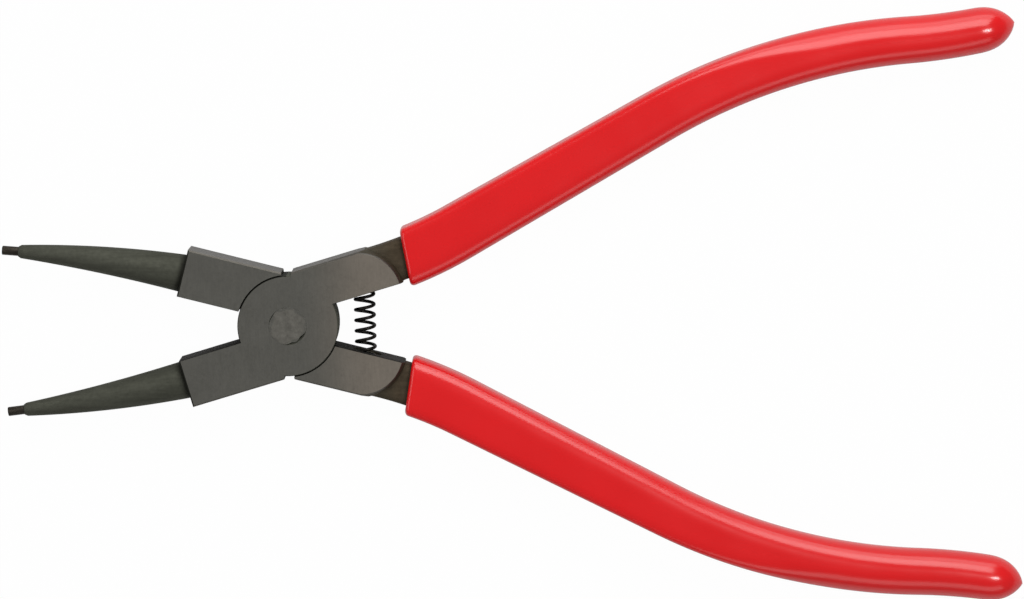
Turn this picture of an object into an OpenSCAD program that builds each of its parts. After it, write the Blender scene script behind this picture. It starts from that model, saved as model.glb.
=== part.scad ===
// Internal circlip pliers with straight tips: two crossing forged levers on a
// flush rivet, pressed-in tip pins, an opening spring and dipped grips.
// Millimetres. Z is the pivot axis, X runs towards the handles along the
// mid-line between the levers, and the tool lies on Z = 0 in its sprung-open pose.
// Both levers are one forging: the rear one is the front one turned over.

/* [Joint] */
// Diameter of the round lap joint
joint_d = 20.9; // [19:0.1:26]
// Thickness across both lapped halves
joint_t = 10.5; // [9:0.5:14]
// Angle of each lever from the mid-line at rest
rest_angle = 15.4; // [12:0.2:17]
// Angle of each lever when the opening stops meet
stop_angle = 20.8; // [20:0.2:26]
// Gap between a disc's rim and the other lever's shoulder
rim_gap = 0.4; // [0.2:0.05:0.8]
// Gap between the two lapped faces
lap_gap = 0.08; // [0.04:0.02:0.3]
// Chamfer along the outer edges of the ground flats
edge_break = 0.3; // [0.2:0.1:0.8]

/* [Rivet] */
// Diameter of the rivet's shank
rivet_d = 6.6; // [5:0.1:8]
// Spread of each peened end past the shank, per side
rivet_spread = 0.6; // [0.3:0.1:1]
// Running clearance in the front lever, per side
rivet_run = 0.04; // [0.02:0.01:0.1]
// Gap left at pressed and bonded faces
fit_gap = 0.01; // [0.01:0.01:0.03]

/* [Jaws] */
// Pivot to the end of the jaw block
jaw_l = 23.8; // [20:0.2:32]
// Mid-line to the block's inner edge with the tool closed
jaw_gap = 0.45; // [0.3:0.05:0.9]
// Step from the block's inner edge to the nose
nose_step = 0.55; // [0.2:0.05:0.9]
// Length of the round nose
nose_l = 34; // [26:0.5:42]
// Diameter of the nose where it leaves the block
nose_base_d = 7.9; // [6.5:0.1:8.8]
// Diameter of the nose's free end
nose_end_d = 2.8; // [2.5:0.1:4]
// Lean of the nose towards the mid-line where it leaves the block
nose_toe = 2.7; // [1:0.1:3]
// Further bend of the nose towards the mid-line
nose_bend = 7; // [3:0.5:7.5]

/* [Tips] */
// Diameter of the tip pins
tip_d = 1.9; // [1.6:0.1:2.1]
// Length of a tip outside the nose
tip_l = 3.4; // [2.5:0.1:4]
// Diameter of the root pressed into the nose
root_d = 1.4; // [1:0.1:1.5]
// Depth of the root
root_l = 6; // [4:0.5:9]

/* [Handles] */
// Mid-line to the shank's inner edge with the tool closed
shank_gap = 1.65; // [1.2:0.05:2]
// Pivot to the end of the ground flat
flat_l = 24.7; // [23:0.1:27]
// Pivot to the start of the neck's bend
neck_u = 21.2; // [19:0.2:23]
// Radius of the neck's outward bend
neck_r = 80; // [60:1:100]
// Angle of the neck's outward bend
neck_bend = 13; // [10:0.1:16]
// Straight run of the handle
straight_l = 48.2; // [35:0.2:70]
// Radius of the palm bow
bow_r = 122; // [100:1:150]
// Angle of the palm bow
bow_bend = 25.6; // [20:0.1:29]
// Radius of the flare at the end
flare_r = 120; // [80:5:200]
// Angle of the flare at the end
flare_bend = 10.6; // [5:0.2:12]
// Width of the tang where it enters the grip
tang_front_w = 8.6; // [7.8:0.1:8.7]
// Width of the tang at its end
tang_end_w = 5.7; // [4.4:0.1:7]

/* [Grips] */
// Wall of the dipped sleeve
grip_wall = 1.8; // [1.4:0.1:2]
// Pivot to the dip line
grip_u = 27.3; // [26.5:0.1:32]
// Slant of the dip line against a square cut
dip_slant = 10; // [0:1:14]
// Length of the pointed end
nib_l = 6.2; // [5:0.2:9]
// Solid sleeve past the end of the tang
nib_cover = 5.5; // [4:0.5:9]

/* [Spring] */
// Pivot to the spring's axis
spring_x = 15.9; // [15:0.1:16.6]
// Outside diameter of the coils
spring_od = 4.6; // [3.8:0.1:5]
// Wire diameter
wire_d = 0.7; // [0.5:0.05:0.8]
// Pitch of the open coils
coil_pitch = 2.2; // [1.6:0.05:3]
// Depth of the pocket drilled in each shank
pocket_l = 3; // [2:0.1:4]

/* [Hidden] */
$fn = 96;
sides = 24;
joint_r = joint_d / 2;
mid = joint_t / 2;
shank_w = joint_r - shank_gap;
tang_t = joint_t - 2 * grip_wall;
edge_from = joint_r * tan(stop_angle) + 1.5;
flat_run = 0.8;
over = 1;

// Nose: its root stands a step in from the block's inner edge, and it bends in an arc
nose_arc_r = nose_l / (nose_bend * PI / 180);
nose_root = [-jaw_l, -(jaw_gap + nose_step + nose_base_d / 2), 180 - nose_toe];
nose_swell = 0.25;
bevel_l = 0.6;
tip_shoulder_d = tip_d + 0.2;

// Handle: lengths of the four runs of its centre line, in order
neck_l = neck_r * neck_bend * PI / 180;
bow_l = bow_r * bow_bend * PI / 180;
flare_l = flare_r * flare_bend * PI / 180;
handle_l = neck_l + straight_l + bow_l + flare_l;
tang_from = -6.5;
tang_to = handle_l - nib_cover;
tang_round = 3;
grip_from = neck_r * asin((grip_u - neck_u) / neck_r) * PI / 180;
dip_fade = 14;
square_front = 3.8;
square_end = 2.4;

// Spring: stands on the far corner of each pocket's floor
spring_r = (spring_od - wire_d) / 2;
pocket_floor = shank_gap + pocket_l;
pocket_mid = shank_gap + pocket_l / 2;
pocket_u = (spring_x + pocket_mid * sin(rest_angle)) / cos(rest_angle);
pocket_d = spring_od / cos(rest_angle) + pocket_l * tan(rest_angle) + 0.4;
seat_y = (pocket_floor + (spring_x - spring_od / 2) * sin(rest_angle)) / cos(rest_angle);
seat_gap = 0.05;
coil_half = seat_y - seat_gap - wire_d / 2;
end_pitch = wire_d * 1.12;
open_turns = 2 * (coil_half - end_pitch) / coil_pitch;
spring_turns = open_turns + 2;

front_lever();
rear_lever();
pivot_rivet();
front_tip();
rear_tip();
return_spring();
upper_grip();
lower_grip();

module front_lever() color([0.33, 0.32, 0.30]) at_front() lever(rivet_run);
module rear_lever() color([0.36, 0.35, 0.33]) at_rear() lever(fit_gap);
module front_tip() color([0.22, 0.21, 0.20]) at_front() tip_pin();
module rear_tip() color([0.22, 0.21, 0.20]) at_rear() tip_pin();
module upper_grip() color([0.80, 0.08, 0.09]) at_front() grip();
module lower_grip() color([0.80, 0.08, 0.09]) at_rear() grip();

// A lever is drawn closed: jaw along -X below the mid-line, handle along +X above it
module at_front() rotate([0, 0, rest_angle]) children();
module at_rear() translate([0, 0, joint_t]) rotate([180, 0, 0]) at_front() children();

// Stations on a centre line are [x, y, heading]
function on_line(st, s) = [st[0] + s * cos(st[2]), st[1] + s * sin(st[2]), st[2]];
function on_arc(st, r, way, s) =
    let (a = st[2] + way * s / r * 180 / PI)
    [st[0] + way * r * (sin(a) - sin(st[2])), st[1] + way * r * (cos(st[2]) - cos(a)), a];

neck_at = [neck_u, shank_gap + shank_w / 2, 0];
straight_at = on_arc(neck_at, neck_r, 1, neck_l);
bow_at = on_line(straight_at, straight_l);
flare_at = on_arc(bow_at, bow_r, -1, bow_l);

function handle_at(s) =
    s < 0 ? on_line(neck_at, s)
    : s < neck_l ? on_arc(neck_at, neck_r, 1, s)
    : s < neck_l + straight_l ? on_line(straight_at, s - neck_l)
    : s < neck_l + straight_l + bow_l ? on_arc(bow_at, bow_r, -1, s - neck_l - straight_l)
    : on_arc(flare_at, flare_r, 1, s - neck_l - straight_l - bow_l);
function nose_at(s) = s < 0 ? on_line(nose_root, s) : on_arc(nose_root, nose_arc_r, -1, s);

// Sections: an oval with flat sides, [across, up] from the centre line
function keep_sign(v, p) = sign(v) * pow(abs(v), p);
function oval(w, t, square) =
    [for (i = [0 : sides - 1]) let (a = 360 * i / sides)
        [w / 2 * keep_sign(cos(a), 2 / square), t / 2 * keep_sign(sin(a), 2 / square)]];
function ring(st, section, lean = 0) =
    [for (p = section)
        [st[0] - sin(st[2]) * p[0] + cos(st[2]) * lean * p[0],
         st[1] + cos(st[2]) * p[0] + sin(st[2]) * lean * p[0],
         mid + p[1]]];

// Skin between two rings of vertices that start at a and b; flip turns it inside out
function band(a, b, flip = false) =
    [for (j = [0 : sides - 1]) let (k = (j + 1) % sides)
        each flip ? [[a + j, a + k, b + k], [a + j, b + k, b + j]]
                  : [[a + j, b + k, a + k], [a + j, b + j, b + k]]];
function cap(a, flip = false) = [[for (j = [0 : sides - 1]) a + (flip ? sides - 1 - j : j)]];

module loft(rings) {
    last = len(rings) - 1;
    polyhedron(
        points = [for (r = rings) each r],
        faces = [each cap(0),
                 for (i = [0 : last - 1]) each band(i * sides, (i + 1) * sides),
                 each cap(last * sides, true)],
        convexity = 6);
}

// One lever with a bore that clears the rivet by c
module lever(c) {
    difference() {
        union() {
            translate([0, 0, mid + lap_gap / 2]) lap_disc(mid - lap_gap / 2);
            difference() {
                union() {
                    jaw_block();
                    shank();
                    loft(tang_rings());
                }
                translate([0, 0, -over])
                    cylinder(r = joint_r + rim_gap, h = over + mid + lap_gap / 2);
            }
            nose();
        }
        rivet_hole(c);
        spring_pocket();
        at_nose_end() translate([0, 0, -root_l - 0.1])
            cylinder(d = root_d + 2 * fit_gap, h = root_l + 0.1 + bevel_l + over);
    }
}

module lap_disc(h) {
    cylinder(r = joint_r, h = h - edge_break / 2);
    translate([0, 0, h - edge_break / 2])
        cylinder(r1 = joint_r, r2 = joint_r - edge_break / 2, h = edge_break / 2);
}

// Jaw block: its outer edge is tangent to the disc and starts at the radial stop face
module jaw_block() {
    difference() {
        linear_extrude(joint_t)
            polygon([[-jaw_gap * tan(stop_angle), -jaw_gap], [-jaw_l, -jaw_gap],
                     [-jaw_l, -joint_r], [-joint_r * tan(stop_angle), -joint_r]]);
        both_faces() translate([0, -joint_r, 0]) edge_cut(-jaw_l - over, -edge_from);
        both_faces() translate([-jaw_l, 0, 0]) rotate([0, 0, -90])
            edge_cut(-over, joint_r + over);
    }
}

// Shank: a ground flat that runs out in a quarter circle about its inner edge
module shank() {
    difference() {
        intersection() {
            linear_extrude(joint_t)
                polygon([[shank_gap * tan(stop_angle), shank_gap], [flat_l + flat_run, shank_gap],
                         [flat_l + flat_run, joint_r], [joint_r * tan(stop_angle), joint_r]]);
            union() {
                cube([flat_l - shank_w, joint_r, joint_t]);
                translate([flat_l - shank_w, shank_gap, 0]) run_out();
            }
        }
        both_faces() translate([0, joint_r, 0]) mirror([0, 1, 0])
            edge_cut(edge_from, flat_l + over);
    }
}

module run_out() {
    cylinder(r1 = shank_w, r2 = shank_w + flat_run, h = grip_wall);
    translate([0, 0, grip_wall]) cylinder(r = shank_w + flat_run, h = tang_t);
    translate([0, 0, grip_wall + tang_t])
        cylinder(r1 = shank_w + flat_run, r2 = shank_w, h = grip_wall);
}

// A wedge that takes off the edge along X of a solid that lies towards +Y and +Z
module edge_cut(from, to) {
    reach = edge_break + over;
    translate([from, 0, 0]) rotate([90, 0, 90]) linear_extrude(to - from)
        polygon([[-over, -over], [reach, -over], [-over, reach]]);
}

module both_faces() {
    children();
    translate([0, 0, joint_t]) mirror([0, 0, 1]) children();
}

function nose_d(t) = nose_base_d + (nose_end_d - nose_base_d) * t + nose_swell * 4 * t * (1 - t);

module nose() {
    steps = 14;
    loft(concat(
        [ring(nose_at(-over), oval(nose_base_d, nose_base_d, 2))],
        [for (i = [0 : steps]) let (t = i / steps)
            ring(nose_at(t * nose_l), oval(nose_d(t), nose_d(t), 2))],
        [ring(on_line(nose_at(nose_l), bevel_l), oval(tip_shoulder_d, tip_shoulder_d, 2))]));
}

// Frame on the nose's end face with Z out along the tip
module at_nose_end() {
    end = on_line(nose_at(nose_l), bevel_l);
    translate([end[0], end[1], mid]) rotate([0, 0, end[2]]) rotate([0, 90, 0]) children();
}

module tip_pin() {
    nip = 0.2;
    at_nose_end() {
        translate([0, 0, -root_l]) cylinder(d = root_d, h = root_l + fit_gap + nip);
        translate([0, 0, fit_gap]) {
            cylinder(d = tip_d, h = tip_l - nip);
            translate([0, 0, tip_l - nip]) cylinder(d1 = tip_d, d2 = tip_d - 2 * nip, h = nip);
        }
    }
}

module rivet_hole(c) {
    r = rivet_d / 2 + c;
    translate([0, 0, -over]) cylinder(r = r, h = joint_t + 2 * over);
    translate([0, 0, joint_t - rivet_spread])
        cylinder(r1 = r, r2 = r + rivet_spread + over, h = rivet_spread + over);
}

module pivot_rivet() color([0.45, 0.44, 0.42]) {
    r = rivet_d / 2;
    cylinder(r1 = r + rivet_spread, r2 = r, h = rivet_spread);
    translate([0, 0, rivet_spread]) cylinder(r = r, h = joint_t - 2 * rivet_spread);
    translate([0, 0, joint_t - rivet_spread])
        cylinder(r1 = r, r2 = r + rivet_spread, h = rivet_spread);
}

module spring_pocket() {
    translate([pocket_u, shank_gap - over, mid]) rotate([-90, 0, 0])
        cylinder(d = pocket_d, h = pocket_l + over);
}

// Share of the way along the gripped part of the handle
function along(s) = max(0, min(1, (s - grip_from) / (handle_l - grip_from)));
function tang_w(s) = tang_front_w + (tang_end_w - tang_front_w) * along(s);
function squareness(s) = square_front + (square_end - square_front) * along(s);
function dip_lean(s) = tan(dip_slant) * max(0, 1 - (s - grip_from) / dip_fade);
function tang_shrink(s) =
    let (d = max(0, min(1, (tang_to - s) / tang_round))) 0.45 + 0.55 * sqrt(1 - (1 - d) * (1 - d));
function nib_shrink(s) =
    let (d = max(0.02, min(1, (handle_l - s) / nib_l))) pow(1 - pow(1 - d, 1.8), 0.75);

// Ring places shared by the tang and the hollow that it fills
hold_s = concat(
    [for (i = [0 : 27]) grip_from + (tang_to - tang_round - grip_from) * i / 27],
    [for (i = [1 : 4]) tang_to - tang_round + tang_round * i / 4]);
function tang_ring(s, gap, lean) =
    ring(handle_at(s), oval(tang_w(s) * tang_shrink(s) + 2 * gap, tang_t * tang_shrink(s) + 2 * gap,
                            squareness(s)), lean);
function tang_rings() =
    concat([for (s = [tang_from, tang_from / 2, 0]) tang_ring(s, 0, 0)],
           [for (s = [grip_from / 2]) tang_ring(s, 0, 0)],
           [for (s = hold_s) tang_ring(s, 0, 0)]);

// Dipped sleeve: outer skin from the rolled lip to the nib, and the hollow for the tang
lip_l = grip_wall * 0.8;
lip = [0.34, 0.16, 0.04, 0];
skin_s = concat(
    [for (t = [0, 0.12, 0.4, 1]) grip_from + lip_l * t],
    [for (i = [1 : 31]) grip_from + lip_l + (handle_l - nib_l - grip_from - lip_l) * i / 31],
    [for (i = [1 : 8]) handle_l - nib_l * (1 - i / 8)]);
function skin_ring(i) =
    let (s = skin_s[i], roll = i < len(lip) ? grip_wall * lip[i] : 0)
    ring(handle_at(s), oval((tang_w(s) + 2 * (grip_wall - roll)) * nib_shrink(s),
                            (tang_t + 2 * (grip_wall - roll)) * nib_shrink(s),
                            squareness(s)), dip_lean(s));
function hollow_ring(s) =
    tang_ring(s, 3 * fit_gap, dip_lean(s));

module grip() {
    skin = [for (i = [0 : len(skin_s) - 1]) skin_ring(i)];
    hollow = [for (s = hold_s) hollow_ring(s),
              tang_ring(tang_to, 3 * fit_gap, 0) + [for (i = [1 : sides]) tang_end_step()]];
    n = len(skin) * sides;
    polyhedron(
        points = concat([for (r = skin) each r], [for (r = hollow) each r]),
        faces = [
            for (i = [0 : len(skin) - 2]) each band(i * sides, (i + 1) * sides),
            each cap(n - sides, true),
            for (i = [0 : len(hollow) - 2])
                each band(n + i * sides, n + (i + 1) * sides, true),
            each cap(n + (len(hollow) - 1) * sides),
            for (j = [0 : sides - 1]) let (k = (j + 1) % sides)
                each [[j, k, n + k], [j, n + k, n + j]]],
        convexity = 8);
}
function tang_end_step() =
    let (h = handle_at(tang_to)[2]) [cos(h) * 3 * fit_gap, sin(h) * 3 * fit_gap, 0];

// Right-hand compression spring across the mid-line, its two end coils closed
function coil_y(n) =
    n < 1 ? -coil_half + n * end_pitch
    : n < spring_turns - 1 ? -coil_half + end_pitch + (n - 1) * coil_pitch
    : coil_half - (spring_turns - n) * end_pitch;
function coil_point(n) =
    [spring_x + spring_r * cos(360 * n), coil_y(n), mid - spring_r * sin(360 * n)];

module return_spring() color([0.12, 0.12, 0.12]) {
    per_turn = 18;
    wire_sides = 8;
    steps = floor(spring_turns * per_turn);
    rings = [for (i = [0 : steps])
        let (n = spring_turns * i / steps,
             p = coil_point(n),
             step = coil_point(n + 0.002) - coil_point(n - 0.002),
             t = step / norm(step),
             e = [cos(360 * n), 0, -sin(360 * n)],
             b = cross(t, e))
        [for (j = [0 : wire_sides - 1]) let (a = 360 * j / wire_sides)
            p + wire_d / 2 * (cos(a) * e + sin(a) * b)]];
    polyhedron(
        points = [for (r = rings) each r],
        faces = [
            [for (j = [0 : wire_sides - 1]) j],
            for (i = [0 : steps - 1], j = [0 : wire_sides - 1])
                let (k = (j + 1) % wire_sides, a = i * wire_sides, b = a + wire_sides)
                each [[a + j, b + k, a + k], [a + j, b + j, b + k]],
            [for (j = [0 : wire_sides - 1]) steps * wire_sides + wire_sides - 1 - j]],
        convexity = 10);
}
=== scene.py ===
# Internal circlip pliers, dressed: blackened levers with ground flats, a peened rivet,
# turned tips, an opening spring and dipped vinyl grips, on a white sweep.
import math

import bmesh
import bpy
from mathutils import Matrix, Vector, noise


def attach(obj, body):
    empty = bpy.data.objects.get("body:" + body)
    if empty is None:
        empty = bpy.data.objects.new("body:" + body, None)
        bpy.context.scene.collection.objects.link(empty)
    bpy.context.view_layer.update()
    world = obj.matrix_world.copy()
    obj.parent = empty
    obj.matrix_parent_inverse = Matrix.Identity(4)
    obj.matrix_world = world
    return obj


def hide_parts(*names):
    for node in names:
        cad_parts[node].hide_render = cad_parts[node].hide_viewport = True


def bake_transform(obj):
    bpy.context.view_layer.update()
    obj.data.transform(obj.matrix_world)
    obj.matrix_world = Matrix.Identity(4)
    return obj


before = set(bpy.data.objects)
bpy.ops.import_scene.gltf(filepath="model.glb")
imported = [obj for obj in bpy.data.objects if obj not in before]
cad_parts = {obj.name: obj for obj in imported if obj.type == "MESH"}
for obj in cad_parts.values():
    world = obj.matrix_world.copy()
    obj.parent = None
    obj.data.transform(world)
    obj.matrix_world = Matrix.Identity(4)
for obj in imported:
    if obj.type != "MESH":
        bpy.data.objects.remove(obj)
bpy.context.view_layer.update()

# Sizes in millimetres and degrees, under the names that the part's source gives them
mm = 0.001
joint_d = 20.9
joint_t = 10.5
rest_angle = 15.4
stop_angle = 20.8
lap_gap = 0.08
edge_break = 0.3
rivet_d = 6.6
rivet_spread = 0.6
rivet_run = 0.04
jaw_l = 23.8
jaw_gap = 0.45
nose_step = 0.55
nose_l = 34
nose_base_d = 7.9
nose_end_d = 2.8
nose_swell = 0.25
nose_toe = 2.7
nose_bend = 7
bevel_l = 0.6
tip_d = 1.9
tip_l = 3.4
root_d = 1.4
root_l = 6
shank_gap = 1.65
flat_l = 24.7
flat_run = 0.8
neck_u = 21.2
neck_r = 80
neck_bend = 13
straight_l = 48.2
bow_r = 122
bow_bend = 25.6
flare_r = 120
flare_bend = 10.6
tang_front_w = 8.6
tang_end_w = 5.7
tang_from = -6.5
tang_round = 3
grip_wall = 1.8
grip_u = 27.3
dip_slant = 10
dip_fade = 14
nib_l = 6.2
nib_cover = 5.5
square_front = 3.8
square_end = 2.4
spring_x = 15.9
spring_od = 4.6
wire_d = 0.7
coil_pitch = 2.2
pocket_l = 3
seat_gap = 0.05
over = 1

mid = joint_t / 2
joint_r = joint_d / 2
shank_w = joint_r - shank_gap
tang_t = joint_t - 2 * grip_wall
tip_shoulder_d = tip_d + 0.2
neck_l = math.radians(neck_bend) * neck_r
bow_l = math.radians(bow_bend) * bow_r
flare_l = math.radians(flare_bend) * flare_r
handle_l = neck_l + straight_l + bow_l + flare_l
tang_to = handle_l - nib_cover
grip_from = neck_r * math.asin((grip_u - neck_u) / neck_r)

# Finishing sizes of the dressed part, in millimetres, and how square its ovals are
rim_show = 0.22
inner_break = 0.1
pocket_clear = 0.4
bore_clear = 0.1
head_fill = 0.035
plain_oval = 2
neck_square = 6.5
sleeve_square_front = 7
sleeve_square_end = 2.1
nib_ease = 1.35
pole_r = 0.02

# Points round a ring
oval_points = 72
sleeve_points = 144
turned_points = 160
rivet_points = 120
pin_points = 40

rest = math.radians(rest_angle)
stop_lean = math.tan(math.radians(stop_angle))
quarter = math.radians(90)


# Centre lines: a station is (x, y, heading) on a lever drawn closed
def on_line(st, s):
    return (st[0] + s * math.cos(st[2]), st[1] + s * math.sin(st[2]), st[2])


def on_arc(st, r, way, s):
    a = st[2] + way * s / r
    return (st[0] + way * r * (math.sin(a) - math.sin(st[2])),
            st[1] + way * r * (math.cos(st[2]) - math.cos(a)), a)


neck_at = (neck_u, shank_gap + shank_w / 2, 0.0)
straight_at = on_arc(neck_at, neck_r, 1, neck_l)
bow_at = on_line(straight_at, straight_l)
flare_at = on_arc(bow_at, bow_r, -1, bow_l)
nose_root = (-jaw_l, -(jaw_gap + nose_step + nose_base_d / 2), math.radians(180 - nose_toe))
nose_arc_r = nose_l / math.radians(nose_bend)
nose_end = on_line(on_arc(nose_root, nose_arc_r, -1, nose_l), bevel_l)


def handle_at(s):
    if s < 0:
        return on_line(neck_at, s)
    if s < neck_l:
        return on_arc(neck_at, neck_r, 1, s)
    if s < neck_l + straight_l:
        return on_line(straight_at, s - neck_l)
    if s < neck_l + straight_l + bow_l:
        return on_arc(bow_at, bow_r, -1, s - neck_l - straight_l)
    return on_arc(flare_at, flare_r, 1, s - neck_l - straight_l - bow_l)


def ring_at(st, points, lean=0.0):
    """A section's points (across, up), set across the centre line or leaning along it."""
    c, s = math.cos(st[2]), math.sin(st[2])
    return [(st[0] - s * across + c * lean * across,
             st[1] + c * across + s * lean * across, mid + up) for across, up in points]


def at_nose_end(across, up, out):
    """A place by the tip's line, from where the tip leaves the nose."""
    x, y, heading = nose_end
    return (x + out * math.cos(heading) - across * math.sin(heading),
            y + out * math.sin(heading) + across * math.cos(heading), mid + up)


def on_lever(lever, point):
    """A point of the closed drawing, in millimetres, to its place at rest, in metres."""
    x = point[0] * math.cos(rest) - point[1] * math.sin(rest)
    y = point[0] * math.sin(rest) + point[1] * math.cos(rest)
    z = point[2]
    if lever == "rear":
        y, z = -y, joint_t - z
    return Vector((x, y, z)) * mm


# Mesh making
def shown(name, mesh, materials):
    for material in materials:
        mesh.materials.append(material)
    piece = bpy.data.objects.new(name, mesh)
    bpy.context.scene.collection.objects.link(piece)
    return piece


def finish_piece(piece, body, node):
    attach(piece, body)
    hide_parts(node)


def closed(name, rings):
    """A closed mesh over rings of equal count: one cap, the sides ring by ring, one cap."""
    count = len(rings[0])
    last = (len(rings) - 1) * count
    faces = [tuple(range(count - 1, -1, -1))]
    for i in range(len(rings) - 1):
        for j in range(count):
            k = (j + 1) % count
            a, b = i * count, (i + 1) * count
            faces.append((a + j, a + k, b + k, b + j))
    faces.append(tuple(range(last, last + count)))
    mesh = bpy.data.meshes.new(name)
    mesh.from_pydata([p for ring in rings for p in ring], [], faces)
    work = bmesh.new()
    work.from_mesh(mesh)
    bmesh.ops.recalc_face_normals(work, faces=work.faces)
    work.to_mesh(mesh)
    work.free()
    return mesh


def skin(name, rings):
    mesh = closed(name, rings)
    mesh.shade_smooth()
    return mesh


def turned_rings(profile, count, place):
    """Rings of a turned shape: profile points are (radius, length along the axis)."""
    rings = []
    for radius, length in profile:
        rings.append([place(radius * math.cos(2 * math.pi * i / count),
                            radius * math.sin(2 * math.pi * i / count), length)
                      for i in range(count)])
    return rings


def evaluated_mesh(piece):
    """The piece's mesh with its modifiers applied."""
    bpy.context.view_layer.update()
    evaluated = piece.evaluated_get(bpy.context.evaluated_depsgraph_get())
    return bpy.data.meshes.new_from_object(evaluated)


# Materials. A colour mix takes its share and its two colours at the first three of these
# sockets, and gives the colour at the output that comes last.
mix_share, mix_first, mix_second, mix_out = 0, 6, 7, 2


def linear(code):
    """An sRGB hex colour as the linear value that a socket takes."""
    parts = [int(code[i:i + 2], 16) / 255 for i in (1, 3, 5)]
    return [p / 12.92 if p <= 0.04045 else ((p + 0.055) / 1.055) ** 2.4 for p in parts] + [1]


def add(tree, kind, sockets=None, **settings):
    """A node with its settings; a socket takes either a value or another node's output."""
    made = tree.nodes.new(kind)
    for key, value in settings.items():
        setattr(made, key, value)
    for key, value in (sockets or {}).items():
        if isinstance(value, bpy.types.NodeSocket):
            tree.links.new(value, made.inputs[key])
        else:
            made.inputs[key].default_value = value
    return made


def new_material(name):
    material = bpy.data.materials.new(name)
    material.use_nodes = True
    tree = material.node_tree
    tree.nodes.clear()
    place = add(tree, "ShaderNodeTexCoord").outputs["Object"]
    return material, tree, place


def surface(tree, sockets):
    """The finished surface, with these sockets, put at the material's output."""
    shader = add(tree, "ShaderNodeBsdfPrincipled", sockets)
    add(tree, "ShaderNodeOutputMaterial", {"Surface": shader.outputs[0]})


def per_metre(size_mm):
    """Noise scale at which one blotch is about this many millimetres."""
    return 1 / (size_mm * mm)


def ground_steel():
    """Surface-ground chrome-vanadium steel, thinly blackened: matt dark grey with a fine
    cross-feed grain, a little paler and warmer towards the handles, partly a brown tint of
    the steel and partly painted light from the right. The grain is drawn 0.3 mm wide,
    coarser than the real one, so that it shows."""
    material, tree, place = new_material("ground_blackened_steel")
    paler_from, paler_to = 2 * mm, 19 * mm
    feed_angle = math.radians(62)
    axes = add(tree, "ShaderNodeSeparateXYZ", {0: place}).outputs
    # Paler and warmer towards the handles: partly the steel's brown tint, partly painted light
    # from the right.
    towards_handle = add(tree, "ShaderNodeMapRange",
                         {"Value": axes["X"], "From Min": paler_from, "From Max": paler_to},
                         interpolation_type="SMOOTHSTEP").outputs[0]
    tone = add(tree, "ShaderNodeMix",
               {mix_share: towards_handle, mix_first: linear("#5D5C57"),
                mix_second: linear("#777067")}, data_type="RGBA").outputs[mix_out]
    cloud = add(tree, "ShaderNodeTexNoise",
                {"Vector": place, "Scale": per_metre(7), "Detail": 4.0,
                 "Roughness": 0.6}).outputs[0]
    grain_way = add(tree, "ShaderNodeMapping",
                    {"Vector": place, "Rotation": (0, 0, feed_angle),
                     "Scale": (per_metre(0.3), per_metre(4), per_metre(1))}).outputs[0]
    grain = add(tree, "ShaderNodeTexNoise",
                {"Vector": grain_way, "Scale": 1.0, "Detail": 3.0, "Roughness": 0.7}).outputs[0]
    pits = add(tree, "ShaderNodeTexNoise",
               {"Vector": place, "Scale": per_metre(0.6), "Detail": 2.0}).outputs[0]
    marks = add(tree, "ShaderNodeMath", {0: cloud, 1: grain}).outputs[0]
    shade = add(tree, "ShaderNodeMapRange",
                {"Value": marks, "From Min": 0.5, "From Max": 1.5,
                 "To Min": 0.86, "To Max": 1.14}).outputs[0]
    colour = add(tree, "ShaderNodeMix",
                 {mix_share: 1.0, mix_first: tone, mix_second: shade},
                 data_type="RGBA", blend_type="MULTIPLY").outputs[mix_out]
    dull = add(tree, "ShaderNodeMapRange",
               {"Value": pits, "To Min": 0.40, "To Max": 0.62}).outputs[0]
    height = add(tree, "ShaderNodeMath", {0: grain, 1: pits}).outputs[0]
    bump = add(tree, "ShaderNodeBump",
               {"Strength": 0.15, "Distance": 0.03 * mm, "Height": height}).outputs[0]
    surface(tree, {"Base Color": colour, "Roughness": dull, "Normal": bump, "Metallic": 1.0})
    return material


def ground_side():
    """The levers' outer sides and broken edges, ground bright after blackening: paler grey
    steel with belt lines along the lever, drawn 0.35 mm wide so that they show."""
    material, tree, place = new_material("bright_ground_edge")
    belt_way = add(tree, "ShaderNodeMapping",
                   {"Vector": place,
                    "Scale": (per_metre(9), per_metre(2), per_metre(0.35))}).outputs[0]
    belt = add(tree, "ShaderNodeTexNoise",
               {"Vector": belt_way, "Scale": 1.0, "Detail": 3.0, "Roughness": 0.6}).outputs[0]
    colour = add(tree, "ShaderNodeMix",
                 {mix_share: belt, mix_first: linear("#4E4B46"), mix_second: linear("#68655F")},
                 data_type="RGBA").outputs[mix_out]
    dull = add(tree, "ShaderNodeMapRange",
               {"Value": belt, "To Min": 0.34, "To Max": 0.52}).outputs[0]
    bump = add(tree, "ShaderNodeBump",
               {"Strength": 0.15, "Distance": 0.03 * mm, "Height": belt}).outputs[0]
    surface(tree, {"Base Color": colour, "Roughness": dull, "Normal": bump, "Metallic": 1.0})
    return material


def oxide_with_painted_shade():
    """Inner sides and shoulders, left as hardened under thick oxide, and darker still as painted
    shade where they face the other lever: black and dull.
    """
    material, tree, place = new_material("black_oxide_with_painted_shade")
    soot = add(tree, "ShaderNodeTexNoise",
               {"Vector": place, "Scale": per_metre(1.2), "Detail": 4.0,
                "Roughness": 0.6}).outputs[0]
    # Near-black colour: the oxide's own dark tone, darkened further as painted shade.
    colour = add(tree, "ShaderNodeMix",
                 {mix_share: soot, mix_first: linear("#1C1B19"), mix_second: linear("#33312D")},
                 data_type="RGBA").outputs[mix_out]
    dull = add(tree, "ShaderNodeMapRange",
               {"Value": soot, "To Min": 0.55, "To Max": 0.8}).outputs[0]
    bump = add(tree, "ShaderNodeBump",
               {"Strength": 0.25, "Distance": 0.06 * mm, "Height": soot}).outputs[0]
    surface(tree, {"Base Color": colour, "Roughness": dull, "Normal": bump, "Metallic": 1.0})
    return material


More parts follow.
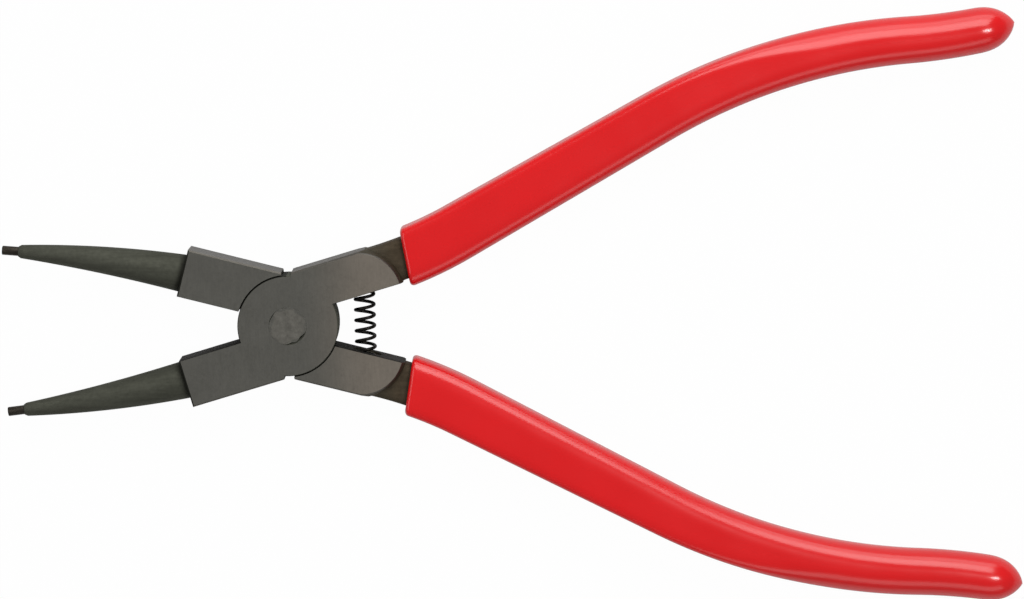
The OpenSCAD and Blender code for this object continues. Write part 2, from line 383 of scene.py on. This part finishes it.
def forged_steel():
    """Drop-forged steel under black oxide: nearly black and dull, with belt streaks along
    the noses, a painted shadow at their roots where the jaw blocks shade them, scale pits
    and a brown cast on the necks."""
    material, tree, place = new_material("black_oxide_forging")
    brown_from, brown_to = 10 * mm, 22 * mm
    root_shadow_from, root_shadow_to = jaw_l * mm, (jaw_l + 1.6) * mm
    axes = add(tree, "ShaderNodeSeparateXYZ", {0: place}).outputs
    neck = add(tree, "ShaderNodeMapRange",
               {"Value": axes["X"], "From Min": brown_from, "From Max": brown_to}).outputs[0]
    tone = add(tree, "ShaderNodeMix",
               {mix_share: neck, mix_first: linear("#54554C"), mix_second: linear("#50473A")},
               data_type="RGBA").outputs[mix_out]
    streak_way = add(tree, "ShaderNodeMapping",
                     {"Vector": place,
                      "Scale": (per_metre(11), per_metre(1.1), per_metre(1.1))}).outputs[0]
    streak = add(tree, "ShaderNodeTexNoise",
                 {"Vector": streak_way, "Scale": 1.0, "Detail": 5.0,
                  "Roughness": 0.62}).outputs[0]
    pits = add(tree, "ShaderNodeTexNoise",
               {"Vector": place, "Scale": per_metre(0.9), "Detail": 3.0,
                "Roughness": 0.6}).outputs[0]
    off_middle = add(tree, "ShaderNodeMath", {0: axes["Y"]}, operation="ABSOLUTE").outputs[0]
    folded = add(tree, "ShaderNodeCombineXYZ", {0: axes["X"], 1: off_middle}).outputs[0]
    along_jaw = add(tree, "ShaderNodeVectorMath",
                    {0: folded, 1: (-math.cos(rest), math.sin(rest), 0)},
                    operation="DOT_PRODUCT").outputs["Value"]
    # Painted shadow: on the jaw side, forged faces go from full tone 1.6 mm past the jaw blocks'
    # ends down to 0.3 of it at the ends and nearer the pivot, for the blocks' shadow on the nose
    # roots.
    painted_root_shadow = add(tree, "ShaderNodeMapRange",
               {"Value": along_jaw, "From Min": root_shadow_from, "From Max": root_shadow_to, "To Min": 0.3},
               interpolation_type="SMOOTHSTEP").outputs[0]
    off_jaw = add(tree, "ShaderNodeMath", {0: axes["X"], 1: 0.0},
                  operation="GREATER_THAN").outputs[0]
    root = add(tree, "ShaderNodeMath", {0: painted_root_shadow, 1: off_jaw}, operation="MAXIMUM").outputs[0]
    streaks = add(tree, "ShaderNodeMapRange",
                  {"Value": streak, "To Min": 0.6, "To Max": 1.4}).outputs[0]
    shade = add(tree, "ShaderNodeMath", {0: streaks, 1: root}, operation="MULTIPLY").outputs[0]
    colour = add(tree, "ShaderNodeMix",
                 {mix_share: 1.0, mix_first: tone, mix_second: shade},
                 data_type="RGBA", blend_type="MULTIPLY").outputs[mix_out]
    dull = add(tree, "ShaderNodeMapRange",
               {"Value": pits, "To Min": 0.6, "To Max": 0.9}).outputs[0]
    bump = add(tree, "ShaderNodeBump",
               {"Strength": 0.3, "Distance": 0.1 * mm, "Height": pits}).outputs[0]
    surface(tree, {"Base Color": colour, "Roughness": dull, "Normal": bump, "Metallic": 1.0})
    return material


def peened_steel():
    """Mild steel rivet, hammered into its countersink and ground flush: the levers' grey
    at the rim, and a paler scuffed patch with a ragged edge inside."""
    material, tree, place = new_material("peened_rivet_steel")
    patch_from, patch_to = 3.4 * mm, 3.7 * mm
    wander_by = 1.5 * mm
    axes = add(tree, "ShaderNodeSeparateXYZ", {0: place}).outputs
    level = add(tree, "ShaderNodeCombineXYZ", {0: axes["X"], 1: axes["Y"]}).outputs[0]
    radius = add(tree, "ShaderNodeVectorMath", {0: level}, operation="LENGTH").outputs["Value"]
    ragged = add(tree, "ShaderNodeTexNoise",
                 {"Vector": place, "Scale": per_metre(1.6), "Detail": 3.0,
                  "Roughness": 0.6}).outputs[0]
    wander = add(tree, "ShaderNodeMapRange",
                 {"Value": ragged, "To Min": -wander_by, "To Max": wander_by}).outputs[0]
    reach = add(tree, "ShaderNodeMath", {0: radius, 1: wander}).outputs[0]
    patch = add(tree, "ShaderNodeMapRange",
                {"Value": reach, "From Min": patch_from, "From Max": patch_to,
                 "To Min": 1.0, "To Max": 0.0}, interpolation_type="SMOOTHSTEP").outputs[0]
    tone = add(tree, "ShaderNodeMix",
               {mix_share: patch, mix_first: linear("#5D5C57"), mix_second: linear("#67655F")},
               data_type="RGBA").outputs[mix_out]
    scuff = add(tree, "ShaderNodeTexNoise",
                {"Vector": place, "Scale": per_metre(0.8), "Detail": 4.0,
                 "Roughness": 0.65}).outputs[0]
    shade = add(tree, "ShaderNodeMapRange",
                {"Value": scuff, "To Min": 0.75, "To Max": 1.25}).outputs[0]
    colour = add(tree, "ShaderNodeMix",
                 {mix_share: 1.0, mix_first: tone, mix_second: shade},
                 data_type="RGBA", blend_type="MULTIPLY").outputs[mix_out]
    dull = add(tree, "ShaderNodeMapRange",
               {"Value": scuff, "To Min": 0.38, "To Max": 0.6}).outputs[0]
    bump = add(tree, "ShaderNodeBump",
               {"Strength": 0.2, "Distance": 0.05 * mm, "Height": scuff}).outputs[0]
    surface(tree, {"Base Color": colour, "Roughness": dull, "Normal": bump, "Metallic": 1.0})
    return material


def tempered_steel():
    """Hardened tip steel, tempered to a brown tint, with scuffs and turning lines, which
    are drawn 0.2 mm apart so that they show."""
    material, tree, place = new_material("tempered_tip_steel")
    tint = add(tree, "ShaderNodeTexNoise",
               {"Vector": place, "Scale": per_metre(1.4), "Detail": 4.0}).outputs[0]
    colour = add(tree, "ShaderNodeMix",
                 {mix_share: tint, mix_first: linear("#2E2B27"), mix_second: linear("#47423B")},
                 data_type="RGBA").outputs[mix_out]
    turning_way = add(tree, "ShaderNodeMapping",
                      {"Vector": place,
                       "Scale": (per_metre(0.2), per_metre(3), per_metre(3))}).outputs[0]
    turning = add(tree, "ShaderNodeTexNoise", {"Vector": turning_way, "Scale": 1.0}).outputs[0]
    bump = add(tree, "ShaderNodeBump",
               {"Strength": 0.25, "Distance": 0.03 * mm, "Height": turning}).outputs[0]
    surface(tree, {"Base Color": colour, "Roughness": 0.4, "Normal": bump, "Metallic": 1.0})
    return material


def spring_wire():
    """Drawn spring steel under oil: dark and satin, duller where the film has dried."""
    material, tree, place = new_material("oiled_spring_wire")
    film = add(tree, "ShaderNodeTexNoise",
               {"Vector": place, "Scale": per_metre(0.8), "Detail": 3.0}).outputs[0]
    colour = add(tree, "ShaderNodeMix",
                 {mix_share: film, mix_first: linear("#161514"), mix_second: linear("#2B2926")},
                 data_type="RGBA").outputs[mix_out]
    dull = add(tree, "ShaderNodeMapRange",
               {"Value": film, "From Min": 0.3, "From Max": 0.7,
                "To Min": 0.32, "To Max": 0.5}).outputs[0]
    surface(tree, {"Base Color": colour, "Roughness": dull, "Metallic": 1.0})
    return material


def dipped_vinyl():
    """Dip-moulded plasticised PVC: glossy red, faintly hazed, with the slow waves that the
    dip leaves as it runs and sets."""
    material, tree, place = new_material("dipped_red_vinyl")
    depth = add(tree, "ShaderNodeTexNoise",
                {"Vector": place, "Scale": per_metre(14), "Detail": 3.0}).outputs[0]
    colour = add(tree, "ShaderNodeMix",
                 {mix_share: depth, mix_first: linear("#C7070C"), mix_second: linear("#D20D12")},
                 data_type="RGBA").outputs[mix_out]
    waves = add(tree, "ShaderNodeTexNoise",
                {"Vector": place, "Scale": per_metre(5), "Detail": 0.0}).outputs[0]
    haze = add(tree, "ShaderNodeTexNoise",
               {"Vector": place, "Scale": per_metre(9), "Detail": 1.0}).outputs[0]
    dull = add(tree, "ShaderNodeMapRange",
               {"Value": haze, "To Min": 0.19, "To Max": 0.26}).outputs[0]
    bump = add(tree, "ShaderNodeBump",
               {"Strength": 0.15, "Distance": 0.2 * mm, "Height": waves}).outputs[0]
    surface(tree, {"Base Color": colour, "Roughness": dull, "Normal": bump, "IOR": 1.54})
    return material


ground = ground_steel()
forged = forged_steel()
peened = peened_steel()
tempered = tempered_steel()
wire = spring_wire()
bright = ground_side()
black = oxide_with_painted_shade()
vinyl = dipped_vinyl()


# Sections of the handle: an oval with flat sides, shared by the tang and its sleeve
def oval(width, thick, square, inner_square=None, count=oval_points):
    """Points round an oval; its half towards the mid-line may be squared less or more."""
    points = []
    for i in range(count):
        a = 2 * math.pi * i / count
        c, s = math.cos(a), math.sin(a)
        power = inner_square if inner_square and c < 0 else square
        reach = (abs(c) ** power + abs(s) ** power) ** (-1 / power)
        points.append((width / 2 * reach * c, thick / 2 * reach * s))
    return points


def share_of(part, whole, least=0):
    return max(least, min(1, part / whole))


def along(s):
    """How far along the sleeve a place on the handle is, from 0 to 1."""
    return share_of(s - grip_from, handle_l - grip_from)


def tang_w(s):
    return tang_front_w + (tang_end_w - tang_front_w) * along(s)


def squareness(s):
    return neck_square + (square_end - neck_square) * along(s) ** 0.5


def sleeve_square(s):
    """Outer and inner squareness of the sleeve: the outer corners are tight on the straight
    run, and both sides go round over the palm bow."""
    round_from, round_run = 0.42, 0.3
    t = share_of(along(s) - round_from, round_run)
    loss = sleeve_square_end - sleeve_square_front
    outer_side = sleeve_square_front + loss * t * t * (3 - 2 * t)
    inner_side = square_front + (sleeve_square_end - square_front) * along(s)
    return outer_side, inner_side


def section(s, wall, shrink):
    """A ring round the handle, this far outside the tang and shrunk as a whole."""
    lean = math.tan(math.radians(dip_slant)) * max(0, 1 - (s - grip_from) / dip_fade)
    tang = squareness(s)
    outer_side, inner_side = [tang + (sleeve - tang) * wall / grip_wall
                              for sleeve in sleeve_square(s)]
    width = (tang_w(s) + 2 * wall) * shrink
    thick = (tang_t + 2 * wall) * shrink
    return ring_at(handle_at(s), oval(width, thick, outer_side, inner_side, sleeve_points), lean)


def tang_shrink(s):
    blunt_end = 0.45
    d = share_of(tang_to - s, tang_round)
    return blunt_end + (1 - blunt_end) * math.sqrt(1 - (1 - d) ** 2)


def nib_shrink(s):
    """How the sleeve closes to a blunt point: full at first, then quickly."""
    point, fullness, bluntness = 0.004, 2.6, 0.75
    d = share_of(handle_l - s, nib_l * nib_ease, point)
    return (1 - (1 - d) ** fullness) ** bluntness


# Levers: one forging for both, drawn closed in millimetres and joined from its solids.
# Each face has one of these four finishes.
lever_finishes = (ground, forged, bright, black)
flat_face, oxide_face, side_face, inner_face = range(4)


def solid(name, rings, caps, finish_of, smooth=False):
    """A closed solid over rings; finish_of(i, j) gives the finish of each side face."""
    mesh = closed(name, rings)
    finishes = [caps]
    for i in range(len(rings) - 1):
        finishes += [finish_of(i, j) for j in range(len(rings[0]))]
    finishes.append(caps)
    for face, finish in zip(mesh.polygons, finishes):
        face.material_index = finish
        face.use_smooth = smooth and len(face.vertices) == 4
    for finish in lever_finishes:
        mesh.materials.append(finish)
    return mesh


def turned(name, profile, finish, caps, place=lambda x, y, z: (x, y, z), count=turned_points):
    rings = turned_rings(profile, count, place)
    return solid(name, rings, caps, lambda i, j: finish, smooth=True)


def worked(base, tool, operation):
    """The base after one working step with the tool; both meshes are used up."""
    pieces = [shown(mesh.name, mesh, []) for mesh in (base, tool)]
    step = pieces[0].modifiers.new("step", "BOOLEAN")
    step.operation = operation
    step.solver = "EXACT"
    step.object = pieces[1]
    result = evaluated_mesh(pieces[0])
    for piece in pieces:
        bpy.data.objects.remove(piece)
    return result


def levels(edge_ring, flat_ring, between=()):
    """Rings of a slab from its lower ground face to its upper one, alike on both."""
    up = [(flat_ring, 0), (edge_ring, edge_break)] + list(between)
    both = up + [(ring, joint_t - z) for ring, z in reversed(up)]
    return [[(x, y, z) for x, y in ring] for ring, z in both]


def jaw_block():
    def outline(near, end, far):
        return [(-near * stop_lean, -near), (-end, -near), (-end, -far), (-far * stop_lean, -far)]

    rings = levels(outline(jaw_gap, jaw_l, joint_r),
                   outline(jaw_gap + inner_break, jaw_l - edge_break, joint_r - edge_break))
    finishes = (inner_face, oxide_face, side_face, inner_face)
    return solid("jaw_block", rings, flat_face, lambda i, j: finishes[j])


def shank():
    steps = 32

    def outline(near, far, radius):
        first = math.asin((near - shank_gap) / radius)
        last = math.asin((far - shank_gap) / radius)
        points = [(near * stop_lean, near)]
        for i in range(steps + 1):
            a = first + (last - first) * i / steps
            points.append((flat_l - shank_w + radius * math.cos(a),
                           shank_gap + radius * math.sin(a)))
        points.append((far * stop_lean, far))
        return points

    rings = levels(outline(shank_gap, joint_r, shank_w + edge_break),
                   outline(shank_gap + inner_break, joint_r - edge_break, shank_w),
                   [(outline(shank_gap, joint_r, shank_w + flat_run), grip_wall)])

    def finish_of(i, j):
        if j == steps + 1:
            return side_face
        if 0 < j <= steps:
            return side_face if i in (0, len(rings) - 2) else oxide_face
        return inner_face

    return solid("shank", rings, flat_face, finish_of)


def lever_nose():
    steps = 60
    stations = [(on_line(nose_root, -over), nose_base_d)]
    for i in range(steps + 1):
        t = i / steps
        thick = nose_base_d + (nose_end_d - nose_base_d) * t + nose_swell * 4 * t * (1 - t)
        stations.append((on_arc(nose_root, nose_arc_r, -1, t * nose_l), thick))
    stations.append((nose_end, tip_shoulder_d))
    rings = [ring_at(st, oval(thick, thick, plain_oval)) for st, thick in stations]
    return solid("nose", rings, oxide_face, lambda i, j: oxide_face, smooth=True)


def lever_tang():
    steps, end_steps = 70, 10
    in_shank = [tang_from, -3, 0]
    reach = tang_to - tang_round
    places = in_shank + [reach * i / steps for i in range(1, steps + 1)]
    places += [reach + tang_round * math.sin(quarter * i / end_steps)
               for i in range(1, end_steps + 1)]
    rings = []
    for s in places:
        shrink = tang_shrink(s)
        rings.append(ring_at(handle_at(s),
                             oval(tang_w(s) * shrink, tang_t * shrink, squareness(s))))
    return solid("tang", rings, oxide_face, lambda i, j: oxide_face, smooth=True)


def lever_forging():
    lap = mid + lap_gap / 2
    clear = joint_r + rim_show
    nip = edge_break / 2

    def clearance():
        return turned("clearance", [(clear, -over), (clear, lap)], inner_face, inner_face)

    jaw = worked(jaw_block(), clearance(), "DIFFERENCE")
    handle = worked(worked(shank(), lever_tang(), "UNION"), clearance(), "DIFFERENCE")
    disc = [(joint_r, lap), (joint_r, joint_t - nip), (joint_r - nip, joint_t)]
    body = turned("disc", disc, oxide_face, flat_face)
    for part in (jaw, handle, lever_nose()):
        body = worked(body, part, "UNION")
    r = rivet_d / 2 + rivet_run
    hole = [(r, -over), (r, joint_t - rivet_spread), (r + rivet_spread + over, joint_t + over)]
    pocket_u = (spring_x + (shank_gap + pocket_l / 2) * math.sin(rest)) / math.cos(rest)
    pocket_r = (spring_od / math.cos(rest) + pocket_l * math.tan(rest) + pocket_clear) / 2
    pocket = [(pocket_r, shank_gap - over), (pocket_r, shank_gap + pocket_l)]
    bore = [(root_d / 2, -root_l - bore_clear), (root_d / 2, over)]
    cuts = (turned("rivet_hole", hole, oxide_face, oxide_face),
            turned("spring_pocket", pocket, oxide_face, oxide_face,
                   lambda x, y, z: (pocket_u + x, z, mid + y)),
            turned("tip_hole", bore, oxide_face, oxide_face, at_nose_end, pin_points))
    for cut in cuts:
        body = worked(body, cut, "DIFFERENCE")
    return body


def dress_lever(lever, node, forging):
    sharp_angle = 28
    mesh = forging.copy()
    mesh.name = node + "_forging"
    for point in mesh.vertices:
        point.co = on_lever(lever, point.co)
    mesh.set_sharp_from_angle(angle=math.radians(sharp_angle))
    piece = shown(node + "_forging", mesh, [])
    finish_piece(piece, lever, node)


forging = lever_forging()
dress_lever("front", "front_lever", forging)
dress_lever("rear", "rear_lever", forging)


# Grips: one skin from the hollow's far end, over the rolled mouth and along to the nib
def grip_rings():
    clear = 0.05
    inner_round, outer_round = 0.3, 0.9
    hollow_steps, inner_steps, outer_steps, body_steps, nib_steps = 90, 4, 6, 260, 36
    hollow_l = tang_to - grip_from - inner_round
    nib = nib_l * nib_ease
    body_from = grip_from + outer_round
    body_to = handle_l - nib
    rings = []
    for i in range(hollow_steps + 1):
        s = tang_to + clear - hollow_l * i / hollow_steps
        rings.append(section(s, clear, tang_shrink(s)))
    for i in range(1, inner_steps + 1):
        a = quarter * i / inner_steps
        rings.append(section(grip_from + inner_round * (1 - math.sin(a)),
                             clear + inner_round * (1 - math.cos(a)), 1))
    for i in range(outer_steps + 1):
        a = quarter * i / outer_steps
        rings.append(section(grip_from + outer_round * (1 - math.cos(a)),
                             grip_wall - outer_round * (1 - math.sin(a)), 1))
    for i in range(1, body_steps + 1):
        s = body_from + (body_to - body_from) * i / body_steps
        rings.append(section(s, grip_wall, 1))
    for i in range(1, nib_steps + 1):
        s = body_to + nib * math.sin(quarter * i / nib_steps)
        rings.append(section(s, grip_wall, nib_shrink(s)))
    return rings


def dress_grip(lever, node):
    rings = [[on_lever(lever, p) for p in ring] for ring in grip_rings()]
    piece = shown(node + "_sleeve", skin(node + "_sleeve", rings), [vinyl])
    finish_piece(piece, lever, node)


dress_grip("front", "upper_grip")
dress_grip("rear", "lower_grip")


# Tips: turned pins on the nose's end line
def dress_tip(lever, node):
    r = tip_d / 2
    seat, shoulder_nip, end_nip, held_to = 0.01, 0.06, 0.2, 0.25
    sharp_angle = 40

    def to_place(across, up, out):
        return on_lever(lever, at_nose_end(across, up, out))

    profile = [(pole_r, -root_l), (root_d / 2, -root_l), (root_d / 2, seat),
               (r - shoulder_nip, seat), (r, seat + shoulder_nip), (r, held_to),
               (r, tip_l - end_nip)]
    for turn in (30, 60, 90):
        a = math.radians(turn)
        profile.append((r - end_nip * (1 - math.cos(a)), tip_l - end_nip + end_nip * math.sin(a)))
    profile.append((pole_r, tip_l))
    mesh = skin(node + "_pin", turned_rings(profile, pin_points, to_place))
    mesh.set_sharp_from_angle(angle=math.radians(sharp_angle))
    finish_piece(shown(node + "_pin", mesh, [tempered]), lever, node)


dress_tip("front", "front_tip")
dress_tip("rear", "rear_tip")


# Rivet: its shank, and peened ends that leave small dents of the countersink open
def dress_rivet():
    r = rivet_d / 2
    head = r + rivet_spread + head_fill
    # Each dent's place round the rim and its spread, in degrees, and its depth as a share
    dents = ((-78, 15, 0.11), (-42, 17, 0.14), (150, 20, 0.04))
    hammer_depth, hammer_size, hammer_level = 0.07, 1.7, 3.1
    face_band = 0.05
    shank_steps, face_steps = 6, 14
    face_from, face_run = 0.998, 0.993
    sharp_angle = 35

    def to_place(x, y, z):
        out = math.hypot(x, y) / head
        angle = math.degrees(math.atan2(y, x))
        pull = 0.0
        for at, spread, depth in dents:
            off = (angle - at + 180) % 360 - 180
            pull += depth * math.exp(-(off / spread) ** 2)
        near_face = max(0, 1 - min(z, joint_t - z) / rivet_spread)
        share = 1 - pull * near_face * min(1, out) ** 3
        hammered = 0.0
        if z > joint_t - face_band:
            blow = noise.noise(Vector((x / hammer_size, y / hammer_size, hammer_level)))
            hammered = hammer_depth * blow * max(0, 1 - out ** 4)
        return Vector((x * share, y * share, z + hammered)) * mm

    lower_rim = [(head - 0.1, 0), (head, 0.03), (head - 0.05, 0.06), (r, rivet_spread)]
    middle = [(r, joint_t * k / shank_steps) for k in range(1, shank_steps)]
    upper_rim = [(r, joint_t - rivet_spread), (head - 0.007, joint_t - 0.006)]
    face = [(head * (face_from - face_run * k / face_steps), joint_t)
            for k in range(face_steps + 1)]
    profile = [(pole_r, 0)] + lower_rim + middle + upper_rim + face
    mesh = skin("pivot_rivet_peened", turned_rings(profile, rivet_points, to_place))
    mesh.set_sharp_from_angle(angle=math.radians(sharp_angle))
    finish_piece(shown("pivot_rivet_peened", mesh, [peened]), "rear", "pivot_rivet")


dress_rivet()


# Spring: wire swept along a helix that has one closed turn at each end
end_turn = 1.0
end_pitch_in_wires = 1.12
points_per_turn = 40
points_round_wire = 14


def spring_tree():
    tree = bpy.data.node_groups.new("coiled_spring", "GeometryNodeTree")
    for name in ("Axis place", "Mid height", "Coil radius", "Wire radius", "Half length",
                 "End pitch", "Pitch", "Open turns"):
        tree.interface.new_socket(name, in_out="INPUT", socket_type="NodeSocketFloat")
    tree.interface.new_socket("Points", in_out="INPUT", socket_type="NodeSocketInt")
    tree.interface.new_socket("Finish", in_out="INPUT", socket_type="NodeSocketMaterial")
    tree.interface.new_socket("Wire", in_out="OUTPUT", socket_type="NodeSocketGeometry")
    given = add(tree, "NodeGroupInput").outputs

    def worked_out(a, operation, b=0.0):
        return add(tree, "ShaderNodeMath", {0: a, 1: b}, operation=operation).outputs[0]

    share = add(tree, "GeometryNodeSplineParameter").outputs["Factor"]
    turns = worked_out(given["Open turns"], "ADD", 2 * end_turn)
    turn = worked_out(share, "MULTIPLY", turns)
    angle = worked_out(turn, "MULTIPLY", 2 * math.pi)
    aside = worked_out(worked_out(angle, "COSINE"), "MULTIPLY", given["Coil radius"])
    rise = worked_out(worked_out(angle, "SINE"), "MULTIPLY", given["Coil radius"])
    first = worked_out(worked_out(turn, "MINIMUM", end_turn), "MULTIPLY", given["End pitch"])
    opened = worked_out(worked_out(turn, "SUBTRACT", end_turn), "MAXIMUM")
    in_middle = worked_out(opened, "MINIMUM", given["Open turns"])
    middle = worked_out(in_middle, "MULTIPLY", given["Pitch"])
    beyond = worked_out(worked_out(opened, "SUBTRACT", given["Open turns"]), "MAXIMUM")
    last = worked_out(beyond, "MULTIPLY", given["End pitch"])
    length = worked_out(worked_out(first, "ADD", middle), "ADD", last)
    place = add(tree, "ShaderNodeCombineXYZ",
                {0: worked_out(aside, "ADD", given["Axis place"]),
                 1: worked_out(length, "SUBTRACT", given["Half length"]),
                 2: worked_out(given["Mid height"], "SUBTRACT", rise)}).outputs[0]
    line = add(tree, "GeometryNodeCurvePrimitiveLine").outputs[0]
    path = add(tree, "GeometryNodeResampleCurve",
               {"Curve": line, "Count": given["Points"]}).outputs[0]
    helix = add(tree, "GeometryNodeSetPosition",
                {"Geometry": path, "Position": place}).outputs[0]
    round_wire = add(tree, "GeometryNodeCurvePrimitiveCircle",
                     {"Resolution": points_round_wire, "Radius": given["Wire radius"]}).outputs[0]
    swept = add(tree, "GeometryNodeCurveToMesh",
                {"Curve": helix, "Profile Curve": round_wire, "Fill Caps": True}).outputs[0]
    real = add(tree, "GeometryNodeRealizeInstances", {0: swept}).outputs[0]
    done = add(tree, "GeometryNodeSetMaterial",
               {"Geometry": real, "Material": given["Finish"]}).outputs[0]
    add(tree, "NodeGroupOutput", {0: done})
    return tree


def dress_spring():
    pocket_floor = shank_gap + pocket_l
    seat_y = (pocket_floor + (spring_x - spring_od / 2) * math.sin(rest)) / math.cos(rest)
    half = seat_y - seat_gap - wire_d / 2
    end_pitch = end_pitch_in_wires * wire_d
    open_turns = 2 * (half - end_pitch) / coil_pitch
    points = round((open_turns + 2 * end_turn) * points_per_turn)
    sharp_angle = 50
    sizes = {"Axis place": spring_x * mm, "Mid height": mid * mm,
             "Coil radius": (spring_od - wire_d) / 2 * mm, "Wire radius": wire_d / 2 * mm,
             "Half length": half * mm, "End pitch": end_pitch * mm, "Pitch": coil_pitch * mm,
             "Open turns": open_turns, "Points": points, "Finish": wire}
    tree = spring_tree()
    maker = shown("spring_maker", bpy.data.meshes.new("spring_maker"), [])
    coil = maker.modifiers.new("coil", "NODES")
    coil.node_group = tree
    for socket in tree.interface.items_tree:
        if socket.in_out == "INPUT":
            coil[socket.identifier] = sizes[socket.name]
    mesh = evaluated_mesh(maker)
    bpy.data.objects.remove(maker)
    mesh.shade_smooth()
    mesh.set_sharp_from_angle(angle=math.radians(sharp_angle))
    spring = shown("return_spring_wire", mesh, [])
    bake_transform(spring)
    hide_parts("return_spring")


dress_spring()


# Sweep, lights and camera, in metres
white = linear("#FFFFFF")


def white_sweep():
    """White paper: the camera sees it nearly all white, mirrors see a little of that white,
    and the rest of it is pale lit paper that carries the tool's soft shadow."""
    material, tree, place = new_material("white_sweep_paper")
    camera_white, mirror_white = 0.98, 0.12
    paper_dark, paper_pale = 0.58, 0.62
    half, below = 3.0, 0.0001
    fibre = add(tree, "ShaderNodeTexNoise", {"Vector": place, "Scale": per_metre(1.5)}).outputs[0]
    tone = add(tree, "ShaderNodeMapRange",
               {"Value": fibre, "To Min": paper_dark, "To Max": paper_pale}).outputs[0]
    lit = add(tree, "ShaderNodeBsdfDiffuse", {"Color": tone}).outputs[0]
    shine = add(tree, "ShaderNodeEmission", {"Color": white, "Strength": 1.0}).outputs[0]
    path = add(tree, "ShaderNodeLightPath").outputs
    reflected = add(tree, "ShaderNodeMath",
                    {0: path["Is Glossy Ray"], 1: path["Is Transmission Ray"]},
                    operation="MAXIMUM").outputs[0]
    in_mirrors = add(tree, "ShaderNodeMath", {0: reflected, 1: mirror_white},
                     operation="MULTIPLY").outputs[0]
    in_view = add(tree, "ShaderNodeMath", {0: path["Is Camera Ray"], 1: camera_white},
                  operation="MULTIPLY").outputs[0]
    share = add(tree, "ShaderNodeMath", {0: in_view, 1: in_mirrors},
                operation="MAXIMUM").outputs[0]
    both = add(tree, "ShaderNodeMixShader", {0: share, 1: lit, 2: shine}).outputs[0]
    add(tree, "ShaderNodeOutputMaterial", {"Surface": both})
    mesh = bpy.data.meshes.new("white_sweep")
    mesh.from_pydata([(-half, -half, 0), (half, -half, 0), (half, half, 0), (-half, half, 0)],
                     [], [(0, 1, 2, 3)])
    floor = shown("white_sweep", mesh, [material])
    floor.location.z = -below


def room():
    grey_level = 0.27
    world = bpy.data.worlds.new("grey_studio")
    world.use_nodes = True
    tree = world.node_tree
    tree.nodes.clear()
    back = add(tree, "ShaderNodeBackground", {"Color": white, "Strength": grey_level})
    add(tree, "ShaderNodeOutputWorld", {"Surface": back.outputs[0]})
    bpy.context.scene.world = world


def softbox(name, at, aim, width, height, watts):
    lamp = bpy.data.lights.new(name, "AREA")
    lamp.shape = "RECTANGLE"
    lamp.size = width
    lamp.size_y = height
    lamp.energy = watts
    holder = bpy.data.objects.new(name, lamp)
    holder.location = at
    holder.rotation_euler = (Vector(aim) - Vector(at)).to_track_quat("-Z", "Y").to_euler()
    bpy.context.scene.collection.objects.link(holder)


def photograph():
    """The photograph's view: from above, leaning a little over the upper edge."""
    tilt, roll = math.radians(5.63), math.radians(1.5)
    away = 0.9
    focus_px, photo_px = 4319, 1024
    sensor_w = 36
    aim = Vector((0.0466, 0.0038, 0.005))
    back = Vector((0, math.sin(tilt), math.cos(tilt)))
    up = Vector((0, math.cos(tilt), -math.sin(tilt)))
    right = Vector((1, 0, 0))
    turned_right = right * math.cos(roll) - up * math.sin(roll)
    turned_up = right * math.sin(roll) + up * math.cos(roll)
    lens = bpy.data.cameras.new("photograph")
    lens.sensor_fit = "HORIZONTAL"
    lens.sensor_width = sensor_w
    lens.lens = focus_px / photo_px * sensor_w
    camera = bpy.data.objects.new("photograph", lens)
    turn = Matrix((turned_right, turned_up, back)).transposed().to_4x4()
    camera.matrix_world = Matrix.Translation(aim + away * back) @ turn
    bpy.context.scene.collection.objects.link(camera)
    bpy.context.scene.camera = camera


white_sweep()
room()
# The key lamps draw the bands of light on the sleeves, and the fills lift the steel. Each
# has its place, what it faces, its width and height, and its watts.
centre = (0.047, 0.0, 0.0)
softbox("key_above", (0.20, 0.56, 0.566), centre, 0.56, 0.49, 3.6)
softbox("key_behind", (0.18, 0.80, 0.20), (0.05, 0.0, 0.20), 0.8, 0.36, 2.1)
softbox("key_right", (0.66, 0.03, 1.22), centre, 0.13, 0.36, 5.4)
softbox("fill_left", (-0.55, 0.05, 0.60), centre, 0.9, 0.4, 2.0)
softbox("fill_below", (0.25, -0.60, 0.45), centre, 0.7, 0.3, 0.8)
photograph()
bpy.context.scene.view_settings.view_transform = "Standard"
